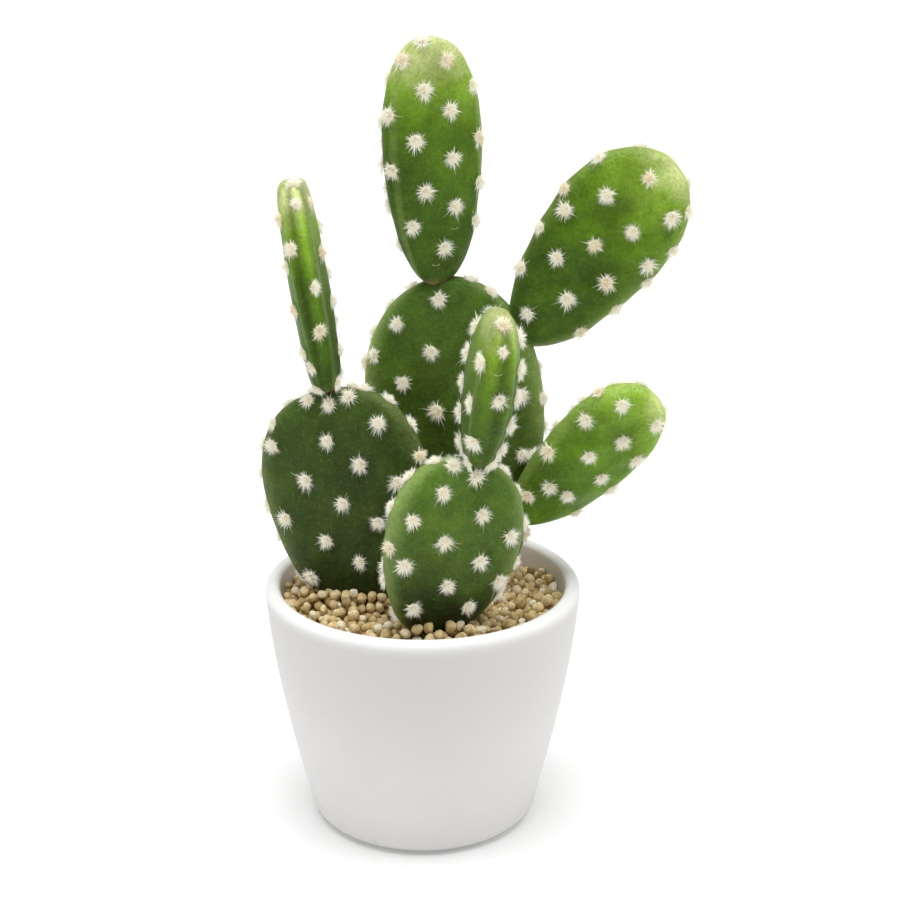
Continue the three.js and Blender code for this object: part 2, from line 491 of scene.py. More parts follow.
@dataclass(frozen=True)
class Backdrop:
    """The plain pale floor.

    Attributes:
        name: the material's name.
        white: its colour.
        lift: how strongly it glows, which lifts its shadows.
    """

    name: str = "floor_white"
    white: Colour = (0.82, 0.82, 0.82)
    lift: float = 0.18

    def material(self) -> bpy.types.Material:
        """Makes the material."""
        graph = Graph(self.name)
        inputs = {"Base Color": self.white, "Roughness": 0.9, "Specular IOR Level": 0.1}
        inputs["Emission Color"] = self.white
        inputs["Emission Strength"] = self.lift
        return graph.surface(inputs)


# ------------------------------------------------------------------- workbench


class Bench:
    """The modelling steps that every piece is made with."""

    @staticmethod
    def clear() -> None:
        """Deselects every object."""
        if bpy.context.object and bpy.context.object.mode != "OBJECT":
            bpy.ops.object.mode_set(mode="OBJECT")
        bpy.ops.object.select_all(action="DESELECT")

    @staticmethod
    def take(name: str) -> bpy.types.Object:
        """Names the object that was just added."""
        made = bpy.context.object
        made.name = name
        made.data.name = name
        return made

    @staticmethod
    def smooth(piece: bpy.types.Object) -> None:
        """Shades a piece smooth."""
        for face in piece.data.polygons:
            face.use_smooth = True

    @staticmethod
    def subdivide(piece: bpy.types.Object, levels: int) -> None:
        """Adds and applies a subdivision surface."""
        Bench.clear()
        piece.select_set(True)
        bpy.context.view_layer.objects.active = piece
        rounder = piece.modifiers.new("rounder", "SUBSURF")
        rounder.levels = levels
        rounder.render_levels = levels
        bpy.ops.object.modifier_apply(modifier=rounder.name)

    @staticmethod
    def points(piece: bpy.types.Object) -> np.ndarray:
        """A piece's points as rows of three numbers."""
        places = np.empty(len(piece.data.vertices) * 3)
        piece.data.vertices.foreach_get("co", places)
        return places.reshape(-1, 3)

    @staticmethod
    def move_points(piece: bpy.types.Object, places: np.ndarray) -> None:
        """Moves a piece's points."""
        piece.data.vertices.foreach_set("co", places.ravel())
        piece.data.update()

    @staticmethod
    def normals(piece: bpy.types.Object) -> np.ndarray:
        """The outward direction at each of a piece's points."""
        outward = np.empty(len(piece.data.vertices) * 3)
        piece.data.vertex_normals.foreach_get("vector", outward)
        return outward.reshape(-1, 3)

    @staticmethod
    def keep_numbers(piece: bpy.types.Object, name: str, numbers: np.ndarray) -> None:
        """Keeps one number on each of a piece's points, for its material."""
        store = piece.data.attributes.new(name, "FLOAT", "POINT")
        store.data.foreach_set("value", numbers.astype(np.float32))

    @staticmethod
    def finish(piece: bpy.types.Object, material: bpy.types.Material) -> None:
        """Gives a piece its material and sets it on the object's one body."""
        piece.data.materials.clear()
        piece.data.materials.append(material)
        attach(piece, "root")
        LOG.info("%s: %d faces", piece.name, len(piece.data.polygons))


class Swarm:
    """Many copies of small modelled shapes, gathered into one mesh."""

    def __init__(self) -> None:
        """Starts with no copies."""
        self.points: list[np.ndarray] = []
        self.faces: list[list[int]] = []
        self.numbers: list[np.ndarray] = []
        self.count = 0

    def add(self, shape: bpy.types.Object, frames: np.ndarray, numbers: np.ndarray) -> None:
        """Adds copies of a shape.

        Args:
            shape: the modelled shape.
            frames: a 3 by 4 matrix for each copy, which turns, sizes and places it.
            numbers: the number that each copy keeps for its material.
        """
        base = Bench.points(shape)
        polygons = [list(face.vertices) for face in shape.data.polygons]
        placed = np.einsum("nij,pj->npi", frames[:, :, :3], base) + frames[:, None, :, 3]
        for copy in range(len(frames)):
            start = self.count + copy * len(base)
            self.faces.extend([[start + corner for corner in face] for face in polygons])
        self.points.append(placed.reshape(-1, 3))
        self.numbers.append(np.repeat(numbers, len(base)))
        self.count += len(frames) * len(base)

    def build(self, name: str, number_name: str) -> bpy.types.Object:
        """Makes the mesh.

        Args:
            name: the piece's name.
            number_name: what the material calls the kept number.

        Returns:
            The piece.
        """
        mesh = bpy.data.meshes.new(name)
        mesh.from_pydata(np.concatenate(self.points).tolist(), [], self.faces)
        mesh.update()
        piece = bpy.data.objects.new(name, mesh)
        bpy.context.scene.collection.objects.link(piece)
        Bench.keep_numbers(piece, number_name, np.concatenate(self.numbers))
        Bench.smooth(piece)
        return piece


def remove(shapes: list[bpy.types.Object]) -> None:
    """Removes shapes that were only modelled to be copied."""
    for shape in shapes:
        bpy.data.objects.remove(shape)


# ------------------------------------------------------------------------ pads


class Age(Enum):
    """How old a pad is, which sets its skin."""

    OLD = "old_pad"
    YOUNG = "young_pad"


@dataclass(frozen=True)
class Row:
    """A straight row of tufts on a pad's front, in millimetres on the pad.

    Attributes:
        across: the first tuft's place to the right of the pad's axis.
        along: the first tuft's place up from the pad's base.
        step_across: how far right each next tuft is.
        step_along: how far up each next tuft is.
        count: how many tufts there are.
    """

    across: float
    along: float
    step_across: float = 0.0
    step_along: float = 0.0
    count: int = 1

    def places(self) -> list[tuple[float, float]]:
        """Each tuft's place across and along the pad."""
        return [
            (self.across + self.step_across * i, self.along + self.step_along * i)
            for i in range(self.count)
        ]


@dataclass(frozen=True)
class Column:
    """Tufts round a pad's edge, in degrees from its right edge and millimetres up it.

    Attributes:
        turn: how far round the first tuft is; 90 is the back, 180 the left edge, 270 the front.
        along: its place up from the pad's base.
        step_turn: how far on round each next tuft is.
        step_along: how far up each next tuft is.
        count: how many tufts there are.
        size: how large they are beside the others of the edge.
    """

    turn: float
    along: float
    step_turn: float = 0.0
    step_along: float = 0.0
    count: int = 1
    size: float = 1.0

    def places(self) -> list[tuple[float, float]]:
        """Each tuft's turn and its place along the pad."""
        return [
            (self.turn + self.step_turn * i, self.along + self.step_along * i)
            for i in range(self.count)
        ]


@dataclass(frozen=True)
class Pad:
    """One pad: a flattened egg, in millimetres and degrees, described as in the CAD model.

    Attributes:
        name: the CAD node that it stands for.
        lean: how far it tips to the right.
        nod: how far it tips forward.
        turn: how far its face swings to the right.
        length: its length.
        width: its greatest width.
        thickness: its greatest thickness.
        egg: above 0 it is widest past the middle.
        blunt: below 1 its ends are squarer.
        edge: the exponent of its thickness along it, where low keeps it even.
        bow: how far it curves sideways, as a share of its length.
        root: the place of its base, for a rooted pad.
        on: the name of its parent, for any other.
        seat: its place on its parent: along as a share, across, and proud of the middle plane.
        age: which skin it has.
        rows: the tufts on its front.
        columns: the tufts on its edge; without any, they are spaced out by chance.
        edge_tuft: the size of the tufts on its edge.
        ribs: how strongly it is ribbed lengthwise.
        ridge: how far from its edge, in degrees round it, a ridge runs, painted pale as a highlight, or 0.
        swell: how far the skin swells round each tuft.
        waves: how uneven its faces are, which also sets the painted shade in the hollows and the painted
            light on the swellings.
        bulges: the turn in degrees, the share of the length and the height of each broad swelling.
        clouds: the same for each broad patch, and how much lighter or darker it is; partly the skin's own
            patchiness and partly painted light and shade.
        scars: the turn in degrees and the place along it of each small pale scar.
        tone: how light its skin is.
        light_and_shade_bands: the turn in degrees and the strength of each band along it, lighter as painted
            light and darker as painted shade.
        ripe: how far its tip's colour reaches down, as a share of the length.
    """

    name: str
    lean: float
    nod: float
    turn: float
    length: float
    width: float
    thickness: float
    egg: float
    blunt: float
    edge: float
    bow: float = 0.0
    root: tuple[float, float, float] | None = None
    on: str = ""
    seat: tuple[float, float, float] = (0.0, 0.0, 0.0)
    age: Age = Age.YOUNG
    rows: tuple[Row, ...] = ()
    columns: tuple[Column, ...] = ()
    edge_tuft: float = 0.95
    ribs: float = 0.0
    ridge: float = 0.0
    swell: float = 0.35
    waves: float = 1.0
    bulges: tuple[tuple[float, float, float], ...] = ()
    clouds: tuple[tuple[float, float, float], ...] = ()
    scars: tuple[tuple[float, float], ...] = ()
    tone: float = 1.0
    light_and_shade_bands: tuple[tuple[float, float], ...] = ()
    ripe: float = 0.0

    SQUARENESS = 2.5
    NECK_LIMIT = 0.95

    def swelling(self, angle: np.ndarray) -> np.ndarray:
        """The width at an angle from base (0) to tip (pi), before it is made to fit."""
        return np.sin(angle) ** self.blunt * (1.0 - self.egg * np.cos(angle))

    def half_width(self, share: np.ndarray) -> np.ndarray:
        """Half the width at a share of the length."""
        angle = np.arccos(np.clip(1.0 - 2.0 * share, -1.0, 1.0))
        widest = self.swelling(np.linspace(0.01, math.pi - 0.01, 200)).max()
        return self.width / 2 * np.maximum(self.swelling(angle), 0.0) / widest

    def half_thick(self, share: np.ndarray) -> np.ndarray:
        """Half the thickness at a share of the length."""
        angle = np.arccos(np.clip(1.0 - 2.0 * share, -1.0, 1.0))
        full = np.maximum(self.thickness / 2 * np.abs(np.sin(angle)) ** self.edge, 1e-3)
        neck = np.maximum(self.NECK_LIMIT * self.half_width(share), 1e-3)
        return (full**-4 + neck**-4) ** -0.25

    def shift(self, share: np.ndarray) -> np.ndarray:
        """How far the axis is moved sideways at a share of the length."""
        return 4 * self.bow * self.length * share * (1.0 - share)

    def skin(self, share: np.ndarray, angle: np.ndarray) -> np.ndarray:
        """Points of the skin in the pad's own frame, in millimetres.

        Args:
            share: how far up the pad, from 0 to 1.
            angle: how far round it, from its right edge.

        Returns:
            A row of three numbers for each point.
        """
        power = 2.0 / self.SQUARENESS
        side = np.sign(np.cos(angle)) * np.abs(np.cos(angle)) ** power
        face = np.sign(np.sin(angle)) * np.abs(np.sin(angle)) ** power
        across = self.shift(share) + self.half_width(share) * side
        return np.stack([across, self.half_thick(share) * face, share * self.length], axis=-1)

    def on_face(self, across: float, along: float, side: int) -> np.ndarray | None:
        """A point of the skin on the front (-1) or back (1), or None past the edge."""
        share = np.array(along / self.length)
        if not 0.02 < share < 0.985:
            return None
        reach = abs(across - float(self.shift(share))) / float(self.half_width(share))
        if reach > 0.97:
            return None
        depth = float(self.half_thick(share)) * (1 - reach**self.SQUARENESS) ** (1 / self.SQUARENESS)
        return np.array([across, side * depth, along])

    def frame(self, pads: dict[str, "Pad"]) -> Matrix:
        """The pad's place: its axis up Z, its right along X and its front along -Y.

        Args:
            pads: every pad by name.

        Returns:
            The matrix, in millimetres.
        """
        lean, nod, turn = (math.radians(value) for value in (self.lean, self.nod, self.turn))
        axis = Vector((math.sin(lean) * math.cos(nod), -math.sin(nod), math.cos(lean) * math.cos(nod)))
        face = Vector((math.sin(turn), -math.cos(turn), 0.0))
        face = (face - axis * face.dot(axis)).normalized()
        right = axis.cross(face)
        if self.root:
            origin = Vector(self.root)
        else:
            parent = pads[self.on]
            along, across, proud = self.seat
            origin = parent.frame(pads) @ Vector((across, -proud, along * parent.length))
        turned = Matrix((right, -face, axis)).transposed().to_4x4()
        return Matrix.Translation(origin) @ turned


# Each pad's broad patches are partly painted light and shade, and its lengthwise stripes are painted light
# and shade.
PADS = (
    Pad(
        "pad_back", -5.8, -1.5, -6, 112.7, 57, 14, 0.34, 1.03, 0.4, -0.007,
        root=(18, 14, 62.4), age=Age.OLD, swell=0.3, tone=1.06,
        clouds=((0, 0.65, 0.7), (180, 0.72, 0.95), (0, 0.32, -0.45)),
        rows=(
            Row(-1.5, 107), Row(-15.5, 100, -8.6, -10, 2), Row(-5.3, 90.7, -10.2, -9.7, 3),
            Row(-5.7, 71.3, -10.2, -9.7, 3), Row(21, 74.2, -10.2, -9.7, 4),
            Row(19.9, 54.8, -10.2, -9.7, 3), Row(17, 92, -9, -9, 2), Row(14, 33, -9, -9, 2),
        ),
    ),
    Pad(
        "pad_left", -11.7, -1.5, -14, 74.3, 54.7, 12, 0.14, 0.79, 0.4, -0.019,
        root=(-13.5, -3, 70.4), age=Age.OLD, swell=0.25, tone=0.7,
        bulges=((180, 0.2, 1.7),), clouds=((270, 0.75, -0.18), (180, 0.5, 0.15), (0, 0.3, 0.1)),
        rows=(
            Row(14.8, 63.2, -8.3, -11.9, 5), Row(-2.4, 59.9, -10, -12, 3),
            Row(26, 56, -9, -12.3, 4), Row(-21.3, 59.8), Row(0.5, 71.3), Row(7, 72.6),
            Row(-6.5, 73),
        ),
    ),
    Pad(
        "pad_front", 11, 1, 18, 59, 43.6, 13, 0.14, 0.84, 0.4, 0.022,
        root=(2.3, -26, 72.3), age=Age.OLD, swell=0.3, tone=1.18,
        clouds=((270, 0.16, -0.6), (270, 0.6, 0.15), (200, 0.8, 0.3)),
        rows=(
            Row(6.3, 43.6, -10.4, -9.2, 3), Row(17.5, 36.8, -8.8, -8.5, 4),
            Row(-7.2, 49.7, -7.4, -9.8, 2), Row(17, 21.5, -8.8, -8.4, 2), Row(2.5, 55.4),
            Row(-5.1, 57.9),
        ),
    ),
    Pad(
        "pad_top", -1.7, 3, 22, 77, 32, 12, 0.18, 0.82, 0.4,
        on="pad_back", seat=(0.982, -2, 1.2), ribs=0.3, ridge=34, swell=0.55, waves=1.3, ripe=0.04,
        bulges=((180, 0.2, 0.3), (0, 0.18, 0.5), (0, 0.9, -0.7)), scars=((285, 19), (262, 8)),
        clouds=((200, 0.5, -0.35), (0, 0.5, 0.15)),
        rows=(
            Row(3.5, 70.5, 0.3, -14.8, 4), Row(0.8, 13.1), Row(-4.2, 62.6, -3.5, -15, 2),
            Row(-5, 31.6), Row(-14.8, 55.5, 0.2, -16.7, 2), Row(-9.2, 21.3), Row(13.3, 46, 0, -14, 2),
        ),
        columns=(
            Column(207, 71.5), Column(236, 76.2), Column(322, 62), Column(330, 20), Column(20, 70, 0, -13, 5),
            Column(165, 66, 0, -13, 5),
        ),
    ),
    Pad(
        "pad_left_upper", -8.2, 2.6, 87, 67, 29, 10.4, 0.18, 0.8, 0.15,
        on="pad_left", seat=(1.002, -0.4, 0), edge_tuft=0.92, tone=0.86, ribs=0.8, ridge=58, swell=0.3,
        waves=0.3, light_and_shade_bands=((184, -0.4), (216, 0.6), (246, -0.3), (150, 0.2)), ripe=0.05,
        bulges=((180, 0.08, 0.6),), clouds=((270, 0.5, 0.3), (270, 0.8, 0.3)),
        scars=((211, 55.8), (212, 53.5)),
        columns=(
            Column(199, 62, size=0.75), Column(216, 37, -11, -13.6, 2), Column(160, 11.5), Column(200, 66.6),
            Column(265, 60, size=0.75), Column(270, 44, 5, -16, 3), Column(172, 50),
            Column(135, 58, 0, -14, 4),
            Column(0, 60, 0, -12, 5), Column(300, 50, 0, -15, 3), Column(60, 50, 0, -15, 3),
            Column(240, 3.5), Column(150, 2.6), Column(60, 4), Column(310, 4),
        ),
    ),
    Pad(
        "pad_front_upper", 7.9, 15.4, -80, 52.5, 25, 14.2, 0.18, 0.8, 0.65,
        on="pad_front", seat=(0.986, 3, 1), edge_tuft=1.05, ribs=0.8, ridge=56, swell=0.3,
        waves=0.3, tone=0.79, light_and_shade_bands=((2, -0.35), (335, 0.35), (28, 0.4)),
        scars=((352, 39.5),),
        columns=(
            Column(354, 51.7), Column(357, 45.8, size=0.62), Column(0, 31), Column(303, 40.6, -12, -15.5, 2),
            Column(321, 13.8), Column(63, 38), Column(72, 47, -4, -9.5, 5),
            Column(235, 44, 5, -9.5, 5), Column(180, 46, 0, -11, 4), Column(118, 42, 0, -10, 4),
            Column(300, 2.8, -40, 1, 2), Column(55, 2.8, 40, 1, 2),
        ),
    ),
    Pad(
        "pad_right_upper", 38.3, 5.4, -8, 74.4, 39.5, 12, 0.28, 1, 0.4, -0.004,
        on="pad_back", seat=(0.807, 20.7, -0.7), swell=0.7, waves=2.0, ripe=-0.01,
        bulges=((0, 0.15, 2.2), (0, 0.5, 0.3), (180, 0.45, -0.6)),
        clouds=((215, 0.35, -0.1), (270, 0.4, -0.15), (330, 0.75, 0.12)),
        rows=(
            Row(-1.7, 66.7, -6.7, -12, 3), Row(11.1, 61.8, -6.2, -10.6, 5),
            Row(15.3, 45.8, -6.1, -11.9, 4),
        ),
        columns=(
            Column(193, 61, 5, -14, 4), Column(168, 71), Column(20, 72), Column(345, 66, 0, -12.5, 5),
            Column(150, 62, 0, -14, 4), Column(25, 58, 0, -13, 4),
        ),
    ),
    Pad(
        "pad_right_lower", 39.5, 16, 20, 65.8, 31.1, 11, 0.24, 0.89, 0.4, 0.018,
        on="pad_back", seat=(0.279, 15, 1.3), swell=0.5, ribs=0.2, waves=1.3, tone=1.35,
        ripe=-0.06, bulges=((0, 0.2, 1.0), (180, 0.9, 0.6)),
        clouds=((270, 0.75, -0.25), (270, 0.5, 0.15), (270, 0.3, -0.25), (270, 0.1, 0.8)),
        rows=(
            Row(-6.7, 59.5, -4.7, -11.4, 2), Row(-12.3, 31.1), Row(7.9, 59.2, -5.2, -10.2, 3),
            Row(-3.6, 21.1), Row(12, 45, -4.6, -11.5, 3),
        ),
        columns=(
            Column(178, 56.6), Column(123, 65), Column(232, 13.6), Column(330, 58, 2, -14, 4),
            Column(20, 62, 0, -13, 4), Column(150, 50, 0, -13, 3),
        ),
    ),
)


@dataclass
class Tuft:
    """Where one tuft grows.

    Attributes:
        place: its point on the skin, in metres.
        outward: the skin's direction there.
        size: its size, where 1 is common.
    """

    place: Vector
    outward: Vector
    size: float


class PadMaker:
    """Models one pad's body and finds where its tufts grow."""

    SEGMENTS = 72
    RINGS = 60
    NEAREST = 4.2
    SWELL_REACH = 4.2
    DIMPLE = 0.45
    DIMPLE_REACH = 1.5
    BAND_WIDTH = 13.0
    SIDE_SPACING = 12.5
    TIP_SPACING = 7.5
    DEEPEST = 7.5

    def __init__(self, pad: Pad, pads: dict[str, Pad], rng: np.random.Generator) -> None:
        """Keeps the pad, its frame and the source of chance."""
        self.pad = pad
        self.frame = pad.frame(pads)
        self.rng = rng
        self.spots = self._spots()
        self.tufts: list[Tuft] = []
        self.scars: list[Tuft] = []
        self.hollows = np.zeros(0)
        self.tree: BVHTree | None = None

    def _rim_spots(self) -> list[tuple[np.ndarray, float]]:
        """The edge's tufts and their sizes: its columns, or else a zigzag spaced out by chance."""
        if self.pad.columns:
            return [
                (self.pad.skin(np.array(along / self.pad.length), np.array(math.radians(turn))), column.size)
                for column in self.pad.columns
                for turn, along in column.places()
            ]
        spots = []
        for edge in (0.0, math.pi):
            shares = np.linspace(0.04, 0.995, 400)
            outline = self.pad.skin(shares, np.full(400, edge))
            steps = np.linalg.norm(np.diff(outline, axis=0), axis=1)
            ahead = self.rng.uniform(2.0, 6.0)
            for share, step in zip(shares, steps):
                ahead -= step
                if ahead <= 0:
                    lift = self.rng.choice((-1, 1)) * self.rng.uniform(0.03, 0.3)
                    spots.append((self.pad.skin(share, np.array(edge + lift)), 1.0))
                    spread = self.SIDE_SPACING + (self.TIP_SPACING - self.SIDE_SPACING) * share**2
                    ahead = spread * self.rng.uniform(0.85, 1.15)
        return spots

    def _spots(self) -> list[tuple[np.ndarray, float]]:
        """Every tuft's point on the pad and its size: the front's, the edge's, then the back's."""
        front = [spot for row in self.pad.rows for spot in row.places()]
        wanted = [(self.pad.on_face(x, z, -1), 1.0) for x, z in front]
        wanted += [(spot, self.pad.edge_tuft * size) for spot, size in self._rim_spots()]
        wanted += [(self.pad.on_face(-x, z, 1), 1.0) for x, z in front]
        kept: list[tuple[np.ndarray, float]] = []
        for spot, size in wanted:
            if spot is None:
                continue
            near = [np.linalg.norm(spot - other) for other, _ in kept]
            if not near or min(near) > self.NEAREST:
                kept.append((spot, size * self.rng.uniform(0.9, 1.1)))
        return kept

    def _relief(self, places: np.ndarray, shares: np.ndarray, turns: np.ndarray) -> np.ndarray:
        """How far the skin stands out at each point, in millimetres.

        Args:
            places: the points in the pad's frame.
            shares: how far up the pad they are.
            turns: how far round it they are.

        Returns:
            The height of each.
        """
        height = np.zeros(len(places))
        for spot, _ in self.spots:
            apart = np.linalg.norm(places - spot, axis=1)
            share = spot[2] / self.pad.length
            outward = abs(spot[0] - self.pad.shift(share)) / max(float(self.pad.half_width(share)), 0.5)
            height += self.pad.swell * (1 - 0.6 * outward**4) * np.exp(-((apart / self.SWELL_REACH) ** 2))
            height -= self.DIMPLE * np.exp(-((apart / self.DIMPLE_REACH) ** 2))
        phase = self.rng.uniform(0, 2 * math.pi, 6)
        across, along = places[:, 0], places[:, 2]
        side = np.sign(places[:, 1])
        waves = 0.2 * np.sin(across * 0.31 + along * 0.11 + phase[0] + side)
        waves += 0.16 * np.sin(along * 0.27 - across * 0.16 + phase[1] - side)
        waves += 0.1 * np.sin(across * 0.55 - along * 0.42 + phase[2] + 2 * side)
        across_share = (across - self.pad.shift(shares)) / np.maximum(self.pad.half_width(shares), 0.5)
        self.hollows = self.pad.waves * waves * np.clip(1.1 - across_share**4, 0.1, 1)
        height += self.hollows
        height += 0.2 * self._ridges(turns) * np.sin(math.pi * shares) ** 0.5
        inner = np.sin(math.pi * shares) ** 0.8
        ribs = np.cos(turns * 6 + phase[3]) + 0.6 * np.cos(turns * 10 + phase[4])
        height += self.pad.ribs * 0.5 * ribs * inner
        for turn, share, rise in self.pad.bulges:
            height += rise * self._spread(turns, shares, turn, share)
        return height - 0.4 * self.pad.swell

    @staticmethod
    def _spread(turns: np.ndarray, shares: np.ndarray, turn: float, share: float) -> np.ndarray:
        """How near each point is to a spot, from 0 to 1, with a broad falloff.

        Args:
            turns: how far round the pad the points are.
            shares: how far up it they are.
            turn: the spot's turn in degrees.
            share: how far up it is.

        Returns:
            The nearness of each.
        """
        aside = (np.degrees(turns) - turn + 180) % 360 - 180
        return np.exp(-((aside / 50) ** 2) - ((shares - share) / 0.17) ** 2)

    def _ridges(self, turns: np.ndarray) -> np.ndarray:
        """How near each point is to the ridges beside the pad's edges, painted pale as a highlight, from 0 to
        1.
        """
        if not self.pad.ridge:
            return np.zeros(len(turns))
        from_edge = np.degrees(np.arcsin(np.abs(np.sin(turns))))
        return np.exp(-(((from_edge - self.pad.ridge) / 8.0) ** 2))

    def _tones(self, shares: np.ndarray, turns: np.ndarray) -> np.ndarray:
        """How light the skin is at each point: painted shade in the hollows and painted light on the
        swellings, its lengthwise stripes of painted light and shade, and its broad patches, partly painted
        light and shade.
        """
        # Painted shade in the hollows of the faces, and painted light on their swellings.
        tones = self.pad.tone * (1 + 0.3 * self.hollows)
        # Lengthwise stripes of painted light and painted shade.
        for turn, strength in self.pad.light_and_shade_bands:
            apart = (np.degrees(turns) - turn + 180) % 360 - 180
            tones *= 1 + strength * np.exp(-((apart / self.BAND_WIDTH) ** 2)) * np.clip(shares * 2.2, 0, 1)
        # Broad patches, partly the skin's own patchiness and partly painted light and shade.
        for turn, share, strength in self.pad.clouds:
            tones *= 1 + strength * self._spread(turns, shares, turn, share)
        return tones

    def body(self) -> bpy.types.Object:
        """Models the pad's body.

        Returns:
            The piece, in the model's frame.
        """
        Bench.clear()
        bpy.ops.mesh.primitive_uv_sphere_add(segments=self.SEGMENTS, ring_count=self.RINGS)
        piece = Bench.take(self.pad.name + "_flesh")
        places = Bench.points(piece)
        shares = (places[:, 2] + 1) / 2
        turns = np.arctan2(places[:, 1], places[:, 0])
        Bench.move_points(piece, self.pad.skin(shares, turns) * MM)
        Bench.subdivide(piece, 1)
        places = Bench.points(piece) / MM
        shares = np.clip(places[:, 2] / self.pad.length, 0, 1)
        turns = np.arctan2(places[:, 1] / self.pad.thickness, places[:, 0] / self.pad.width)
        height = self._relief(places, shares, turns)
        Bench.move_points(piece, (places + Bench.normals(piece) * height[:, None]) * MM)
        reach = np.abs(places[:, 0] - self.pad.shift(shares)) / np.maximum(self.pad.half_width(shares), 0.5)
        # Where the painted rim light falls: towards the narrow edge, and along the ridges.
        rim = np.clip(reach, 0, 1) ** 4 * (0.3 if self.pad.ridge else 1.0) + 0.85 * self._ridges(turns)
        Bench.keep_numbers(piece, "along", shares + self.pad.ripe * shares)
        Bench.keep_numbers(piece, "rim", np.clip(rim, 0, 1))
        Bench.keep_numbers(piece, "tone", self._tones(shares, turns))
        piece.data.transform(Matrix.Scale(MM, 4) @ self.frame @ Matrix.Scale(1 / MM, 4))
        Bench.smooth(piece)
        self._find_tufts(piece)
        return piece

    def _find_tufts(self, piece: bpy.types.Object) -> None:
        """Sets each tuft on the finished skin."""
        self.tree = tree_of(piece)
        for spot, size in self.spots:
            wanted = (self.frame @ Vector(spot)) * MM
            place, outward, _, _ = self.tree.find_nearest(wanted)
            self.tufts.append(Tuft(place, outward, size))
        for turn, along in self.pad.scars:
            spot = self.pad.skin(np.array(along / self.pad.length), np.array(math.radians(turn)))
            place, outward, _, _ = self.tree.find_nearest((self.frame @ Vector(spot)) * MM)
            self.scars.append(Tuft(place, outward, self.rng.uniform(0.8, 1.2)))

    def gap(self, place: Vector) -> tuple[float, Vector]:
        """How far a point is from the skin, below 0 inside it, and the skin's direction there."""
        nearest, outward, _, apart = self.tree.find_nearest(place)
        inside = (place - nearest).dot(outward) < 0 and apart < self.DEEPEST * MM
        return (-apart if inside else apart), outward


def tree_of(piece: bpy.types.Object) -> BVHTree:
    """A search tree of a piece's faces."""
    corners = [vertex.co for vertex in piece.data.vertices]
    faces = [face.vertices for face in piece.data.polygons]
    return BVHTree.FromPolygons(corners, faces)


